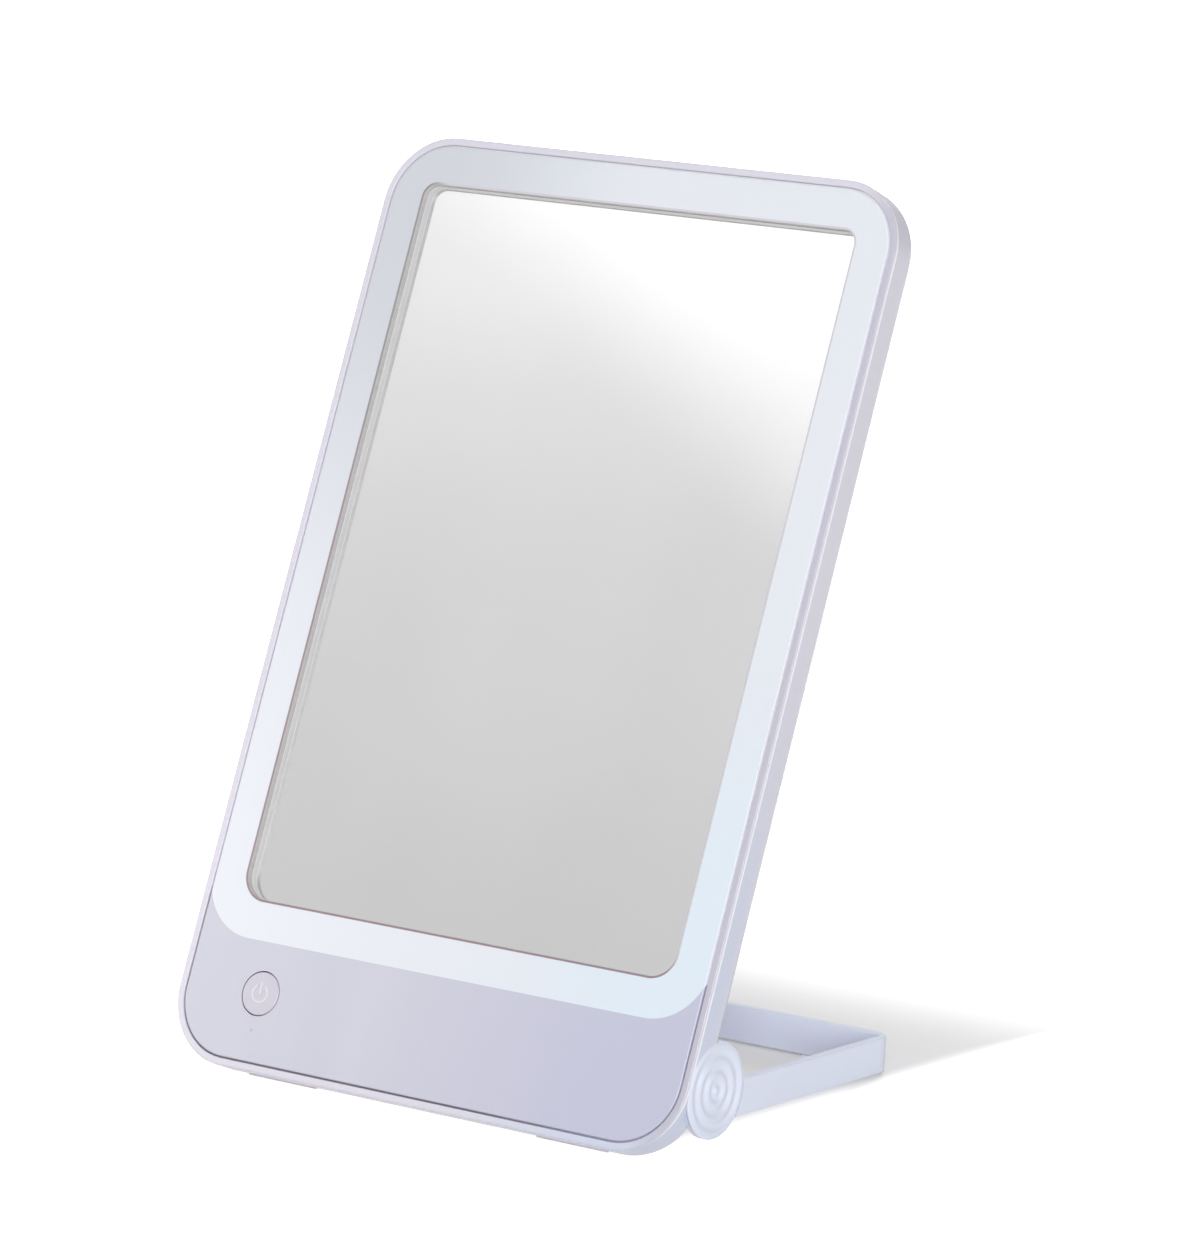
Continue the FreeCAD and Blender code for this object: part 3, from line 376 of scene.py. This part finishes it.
# Aluminium foil laminate, lightly creased
dress(plain_finish("foil_pouch", "#C9CACC", "#BFC0C3", 0.30, 6.0, 1.5, 0.02, {"Metallic": 1.0}),
      "battery_cell")
# Woven tape with adhesive: dry and off-white
dress(plain_finish("woven_tape", "#E3E1D8", "#D8D6CD", 0.85, 2.0, 0.5, 0.03, {"IOR": 1.45}), "battery_tape")
# Closed-cell foam: a dull, pitted black
dress(plain_finish("black_foam", "#2C2C2E", "#242426", 0.95, 2.0, 0.6, 0.05, {"IOR": 1.45}), "mirror_tape")
# Moulded white ABS, so that the strips' light isn't lost
dress(plain_finish("white_abs_tray", "#F0F0EE", "#EBEBE9", 0.50, 20.0, 0.6, 0.003, {"IOR": 1.53}),
      "inner_frame")
# Turned acetal: dense, waxy and white
dress(plain_finish("white_acetal", "#ECEBE6", "#E5E4DF", 0.40, 3.0, 0.4, 0.002, {"IOR": 1.48}),
      "friction_washer_left", "friction_washer_right")


def new_piece(name, shape, place):
    """A mesh object from a bmesh, set in place."""
    bmesh.ops.recalc_face_normals(shape, faces=shape.faces)
    mesh = bpy.data.meshes.new(name)
    shape.to_mesh(mesh)
    shape.free()
    piece = bpy.data.objects.new(name, mesh)
    scene.collection.objects.link(piece)
    piece.matrix_world = place
    return piece


def plate(outline, front, back, soften):
    """A flat plate with an outline across the slab, from one depth to another, with softened edges."""
    shape = bmesh.new()
    face = shape.faces.new([shape.verts.new((p.x, front, p.y)) for p in outline])
    grown = bmesh.ops.extrude_face_region(shape, geom=[face])
    moved = [item for item in grown["geom"] if isinstance(item, bmesh.types.BMVert)]
    bmesh.ops.translate(shape, verts=moved, vec=(0, back - front, 0))
    rims = [edge for edge in shape.edges if edge.verts[0].co.y == edge.verts[1].co.y]
    bmesh.ops.bevel(shape, geom=rims, offset=soften, segments=2, profile=0.5, affect="EDGES")
    return shape


def rounded_outline(half, low, high, radius, steps):
    """The points of a rectangle with rounded corners, in order."""
    points = []
    for number, (x, z) in enumerate(((half, high), (-half, high), (-half, low), (half, low))):
        centre = Vector((math.copysign(half - radius, x), z - radius if z == high else z + radius))
        for step in range(steps + 1):
            turn = math.pi / 2 * (number + step / steps)
            points.append(centre + Vector((math.cos(turn), math.sin(turn))) * radius)
    return points


# The mirror is silvered behind: a clear pane, and the silver at its back
corner_steps = 12
pane_gap = 0.05 * MM
pane_depth = 1.35 * MM
pane_soften = 0.15 * MM
silver_gap = 0.02 * MM
silver_depth = 0.06 * MM
silver_soften = 0.01 * MM
pane_outline = rounded_outline(opening_half + mirror_lap, opening_low - mirror_lap,
                               opening_high + mirror_lap, mirror_corner, corner_steps)
pane_front = panel_thickness + pane_gap
pane_back = pane_front + pane_depth
silver_front = pane_back + silver_gap
silver_back = silver_front + silver_depth
for name, front, back, soften, finish in (
        ("mirror_pane", pane_front, pane_back, pane_soften, clear_float_glass()),
        ("mirror_silver", silver_front, silver_back, silver_soften, wet_silvered_coat())):
    piece = new_piece(name, plate(pane_outline, front, back, soften), slab_to_row)
    piece.data.materials.append(finish)
    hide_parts("mirror_glass")
    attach(piece, "mirror_slab")


# The hinge caps: discs with rings rippled into them, a little deeper than a solid's own arcs
cap_radius = 10.3 * MM
cap_ring = 3.077 * MM
cap_crest = 0.15 * MM
cap_dip = 0.42 * MM
cap_edge = 0.30 * MM
cap_seat = 0.80 * MM
cap_seat_gap = 0.05 * MM
cap_pivot = Vector((slab_half_width, -31.7102 * MM, 13.8324 * MM))
cap_turns = 72
cap_steps = 60
cap_edge_steps = 6
cap_profile = []
for step in range(1, cap_steps + 1):
    radius = (cap_radius - cap_edge) * step / cap_steps
    ripple = (1 - math.cos(2 * math.pi * radius / cap_ring)) / 2
    cap_profile.append((radius, cap_crest - cap_dip * ripple))
shoulder = cap_profile[-1][1]
for step in range(1, cap_edge_steps + 1):
    turn = math.pi / 2 * step / cap_edge_steps
    radius = cap_radius - cap_edge + cap_edge * math.sin(turn)
    cap_profile.append((radius, shoulder - cap_edge * (1 - math.cos(turn))))
cap_profile.append((cap_radius, cap_seat_gap - cap_seat))
for name, side in (("hinge_cap_left", -1), ("hinge_cap_right", 1)):
    shape = bmesh.new()
    rings = []
    for radius, rise in cap_profile:
        turns = [2 * math.pi * number / cap_turns for number in range(cap_turns)]
        rings.append([shape.verts.new((side * rise, radius * math.cos(turn), radius * math.sin(turn)))
                      for turn in turns])
    middle = shape.verts.new((side * cap_crest, 0.0, 0.0))
    for number in range(cap_turns):
        following = (number + 1) % cap_turns
        shape.faces.new((middle, rings[0][number], rings[0][following]))
        for inner, outer in zip(rings, rings[1:]):
            shape.faces.new((inner[number], outer[number], outer[following], inner[following]))
    shape.faces.new(rings[-1])
    for face in shape.faces:
        face.smooth = len(face.verts) < cap_turns
    place = Matrix.Translation(Vector((side * cap_pivot.x, cap_pivot.y, cap_pivot.z)))
    piece = new_piece("rippled_" + name, shape, place)
    piece.data.materials.append(stand_abs)
    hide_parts(name)
    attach(piece, "mirror_slab")


def stroke_outline(points, width, steps):
    """The outline of a stroke of one width along points, with round ends."""
    half = width / 2
    left = []
    right = []
    for number, point in enumerate(points):
        before = points[max(number - 1, 0)]
        after = points[min(number + 1, len(points) - 1)]
        along = (after - before).normalized()
        side = Vector((-along.y, along.x))
        left.append(point + side * half)
        right.append(point - side * half)
    ends = []
    for point, towards in ((points[-1], points[-1] - points[-2]), (points[0], points[0] - points[1])):
        heading = math.atan2(towards.y, towards.x)
        turns = [heading + math.pi / 2 - math.pi * step / steps for step in range(1, steps)]
        ends.append([point + Vector((math.cos(turn), math.sin(turn))) * half for turn in turns])
    return left + ends[0] + right[::-1] + ends[1]


# The power sign on the button: an open ring and an upright bar, moulded proud of the face
sign_radius = 1.9 * MM
sign_gap = math.radians(38)
sign_stroke = 0.55 * MM
sign_rise = 0.09 * MM
sign_sink = 0.05 * MM
sign_soften = 0.04 * MM
sign_end_steps = 10
bar_heights = (0.05 * MM, 1.2 * MM, 2.3 * MM)
ring_steps = 48
ring_turn = 2 * (math.pi - sign_gap)
ring_points = []
for step in range(ring_steps + 1):
    turn = math.pi / 2 + sign_gap + ring_turn * step / ring_steps
    ring_points.append(Vector((math.cos(turn), math.sin(turn))) * sign_radius)
bar_points = [Vector((0.0, height)) for height in bar_heights]
sign_abs = moulded_abs("bare_abs_sign", "#D5D1DA", "#D2CFD8", small, 0.28, 0.8, 0.0006)
for name, points in (("power_sign_ring", ring_points), ("power_sign_bar", bar_points)):
    outline = stroke_outline(points, sign_stroke, sign_end_steps)
    shape = plate(outline, -sign_rise, sign_sink, sign_soften)
    piece = new_piece(name, shape, slab_to_row @ Matrix.Translation(button_place))
    piece.data.materials.append(sign_abs)
    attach(piece, "button")

# A table of white paper that takes the part's soft shadow behind the stand. The camera, gloss and glass
# see it lifted a little everywhere, and to white past each of these edges: a heading, and where along it
# the white begins and is full, in millimetres.
lift_edges = (((1.0, -0.25, 0.0), 55.0, 66.0),
              ((-1.0, 0.0, 0.0), 50.0, 72.0),
              ((0.0, -1.0, 0.0), 24.0, 40.0),
              ((0.0, 1.0, 0.0), 57.0, 128.0))
shadow_lift = 0.24
open_lift = 0.90
floor_half = 6.0
floor_mesh = bpy.data.meshes.new("studio_floor")
floor_corners = [(-floor_half, -floor_half, 0), (floor_half, -floor_half, 0), (floor_half, floor_half, 0),
                 (-floor_half, floor_half, 0)]
floor_mesh.from_pydata(floor_corners, [], [(0, 1, 2, 3)])
studio_floor = bpy.data.objects.new("studio_floor", floor_mesh)
scene.collection.objects.link(studio_floor)
floor_paper, tree, place = start_material("white_table_paper")
lift_share = None
for heading, low, high in lift_edges:
    reach = add(tree, "ShaderNodeVectorMath", {"operation": "DOT_PRODUCT"}, {0: place, 1: heading})
    ramp = add(tree, "ShaderNodeMapRange", {"interpolation_type": "SMOOTHSTEP"},
               {"Value": reach.outputs["Value"], "From Min": low * MM, "From Max": high * MM})
    edge = ramp.outputs["Result"]
    if lift_share is None:
        lift_share = edge
    else:
        lift_share = add(tree, "ShaderNodeMath", {"operation": "MAXIMUM"},
                         {0: lift_share, 1: edge}).outputs[0]
lift = add(tree, "ShaderNodeMapRange", None,
           {"Value": lift_share, "To Min": shadow_lift, "To Max": open_lift})
ray = add(tree, "ShaderNodeLightPath")
seen = ray.outputs["Is Camera Ray"]
for kind in ("Is Glossy Ray", "Is Transmission Ray"):
    seen = add(tree, "ShaderNodeMath", {"operation": "MAXIMUM"}, {0: seen, 1: ray.outputs[kind]}).outputs[0]
shown_lift = add(tree, "ShaderNodeMath", {"operation": "MULTIPLY"}, {0: lift.outputs["Result"], 1: seen})
finish_material(tree, {
    "Base Color": drifting_colour(tree, place, (300.0, 300.0, 300.0), "#C6C6C6", "#C3C3C3"),
    "Emission Color": linear("#FFFFFF"),
    "Emission Strength": shown_lift.outputs[0],
    "Roughness": 0.9,
    "Specular IOR Level": 0.0})
floor_mesh.materials.append(floor_paper)

# The studio round the part, by direction: dark low in front, a white belt higher up, and grey above and
# behind. The mirror shows the slope up to the belt, with a paler strip that slants across its upper right,
# and the room is dimmer towards the right. The camera itself sees plain white.
sweep_axis = Vector((0.0, 0.64, 0.77)).normalized()
panel_axis = Vector((0.489, 0.193, 0.851)).normalized()
panel_from = 0.024
panel_full = 0.056
panel_fade = 0.10
panel_gone = 0.20
panel_gain = 0.25
dim_from = -0.30
dim_to = 0.15
dim_share = 0.75
sweep_from = -0.35
sweep_to = 0.25
sweep_tones = ((-0.35, 0.15), (-0.22, 0.40), (-0.16, 0.63), (-0.13, 0.67), (-0.06, 0.78), (-0.035, 0.86),
               (-0.02, 0.95), (0.0, 1.02), (0.05, 1.02), (0.16, 0.50), (0.25, 0.52))
world = bpy.data.worlds.new("studio")
scene.world = world
world.use_nodes = True
tree = world.node_tree
tree.nodes.clear()
towards = add(tree, "ShaderNodeTexCoord").outputs["Generated"]
sweep = add(tree, "ShaderNodeVectorMath", {"operation": "DOT_PRODUCT"}, {0: towards, 1: sweep_axis})
sweep_place = add(tree, "ShaderNodeMapRange", None,
                  {"Value": sweep.outputs["Value"], "From Min": sweep_from, "From Max": sweep_to})
room_tones = add(tree, "ShaderNodeValToRGB", None, {"Fac": sweep_place.outputs["Result"]})
stops = room_tones.color_ramp.elements
while len(stops) < len(sweep_tones):
    stops.new(0.5)
for stop, (position, tone) in zip(stops, sweep_tones):
    stop.position = (position - sweep_from) / (sweep_to - sweep_from)
    stop.color = (tone, tone, tone, 1.0)
panel = add(tree, "ShaderNodeVectorMath", {"operation": "DOT_PRODUCT"}, {0: towards, 1: panel_axis})
panel_edge = add(tree, "ShaderNodeMapRange", {"interpolation_type": "SMOOTHSTEP"},
                 {"Value": panel.outputs["Value"], "From Min": panel_from, "From Max": panel_full,
                  "To Min": 0.0, "To Max": panel_gain})
panel_end = add(tree, "ShaderNodeMapRange", {"interpolation_type": "SMOOTHSTEP"},
                {"Value": panel.outputs["Value"], "From Min": panel_fade, "From Max": panel_gone,
                 "To Min": 1.0, "To Max": 0.0})
panel_light = add(tree, "ShaderNodeMath", {"operation": "MULTIPLY"},
                  {0: panel_edge.outputs["Result"], 1: panel_end.outputs["Result"]})
room = add(tree, "ShaderNodeMix", {"data_type": "RGBA", "blend_type": "ADD"},
           {0: 1.0, 6: room_tones.outputs["Color"], 7: panel_light.outputs[0]})
across = add(tree, "ShaderNodeSeparateXYZ", None, {"Vector": towards})
right_dim = add(tree, "ShaderNodeMapRange", {"interpolation_type": "SMOOTHSTEP"},
                {"Value": across.outputs["X"], "From Min": dim_from, "From Max": dim_to,
                 "To Min": 1.0, "To Max": dim_share})
dimmed = add(tree, "ShaderNodeVectorMath", {"operation": "SCALE"},
             {0: room.outputs[2], "Scale": right_dim.outputs["Result"]})
ray = add(tree, "ShaderNodeLightPath")
shown = add(tree, "ShaderNodeMix", {"data_type": "RGBA"},
            {0: ray.outputs["Is Camera Ray"], 6: dimmed.outputs["Vector"], 7: (1.0, 1.0, 1.0, 1.0)})
background = add(tree, "ShaderNodeBackground", None, {"Color": shown.outputs[2], "Strength": 1.0})
add(tree, "ShaderNodeOutputWorld", None, {"Surface": background.outputs["Background"]})


def lamp(name, size, height, energy, colour, place, target, diffuse=True, glossy=True):
    """An area lamp that faces a point."""
    light = bpy.data.lights.new(name, "AREA")
    light.shape = "RECTANGLE"
    light.size = size
    light.size_y = height
    light.energy = energy
    light.color = linear(colour)[:3]
    lamp_object = bpy.data.objects.new(name, light)
    scene.collection.objects.link(lamp_object)
    lamp_object.location = place
    lamp_object.rotation_euler = (Vector(target) - Vector(place)).to_track_quat("-Z", "Y").to_euler()
    lamp_object.visible_camera = False
    lamp_object.visible_diffuse = diffuse
    lamp_object.visible_glossy = glossy
    lamp_object.visible_transmission = glossy


# High and a little in front: it gives the shadow behind the slab
lamp("overhead_lamp", 0.12, 0.26, 2.2, "#FFFFFF", (0.03, -0.05, 1.20), (0.03, -0.049, 0.0))
# In front and to the right: it lights the face, the side and the stand
lamp("right_softbox", 0.90, 1.10, 27.0, "#FFFFFF", (1.25, -1.47, 0.55), (0.0, 0.0, 0.08))
# Behind: it lights the back of the slab and the stand, and stays out of the gloss on their upper edges
lamp("back_softbox", 0.60, 0.60, 11.0, "#FFFFFF", (-0.50, 1.20, 0.55), (0.0, 0.0, 0.10), glossy=False)
# Close at the left: the chin is paler and warmer on that side
lamp("left_softbox", 0.12, 0.12, 0.12, "#FFF6F4", (-0.20, -0.16, 0.08), (-0.02, -0.04, 0.03), glossy=False)
# A strip straight to the right that only gloss shows: a white line on the rounded edges and on the ripples
lamp("edge_strip", 0.30, 1.00, 9.0, "#FFFFFF", (1.50, 0.23, 0.20), (0.0, 0.0, 0.10), diffuse=False)

# The camera stands in front, to the right and a little above, with a long lens
camera_place = Vector((727.89, -1024.99, 399.08)) * MM
picture_height = 1246
focal_pixels = 6058.0
camera = bpy.data.cameras.new("photo_camera")
camera.sensor_width = 36.0
camera.lens = focal_pixels * camera.sensor_width / picture_height
camera.clip_start = 0.1
camera.clip_end = 50.0
camera_object = bpy.data.objects.new("photo_camera", camera)
scene.collection.objects.link(camera_object)
camera_object.location = camera_place
camera_right = Vector((0.821563, 0.570110, -0.003007)).normalized()
camera_back = Vector((0.554995, -0.798553, 0.233009)).normalized()
camera_up = camera_back.cross(camera_right)
camera_turn = Matrix((camera_right, camera_up, camera_back)).transposed()
camera_object.rotation_euler = camera_turn.to_euler()
scene.camera = camera_object

scene.view_settings.view_transform = "Standard"
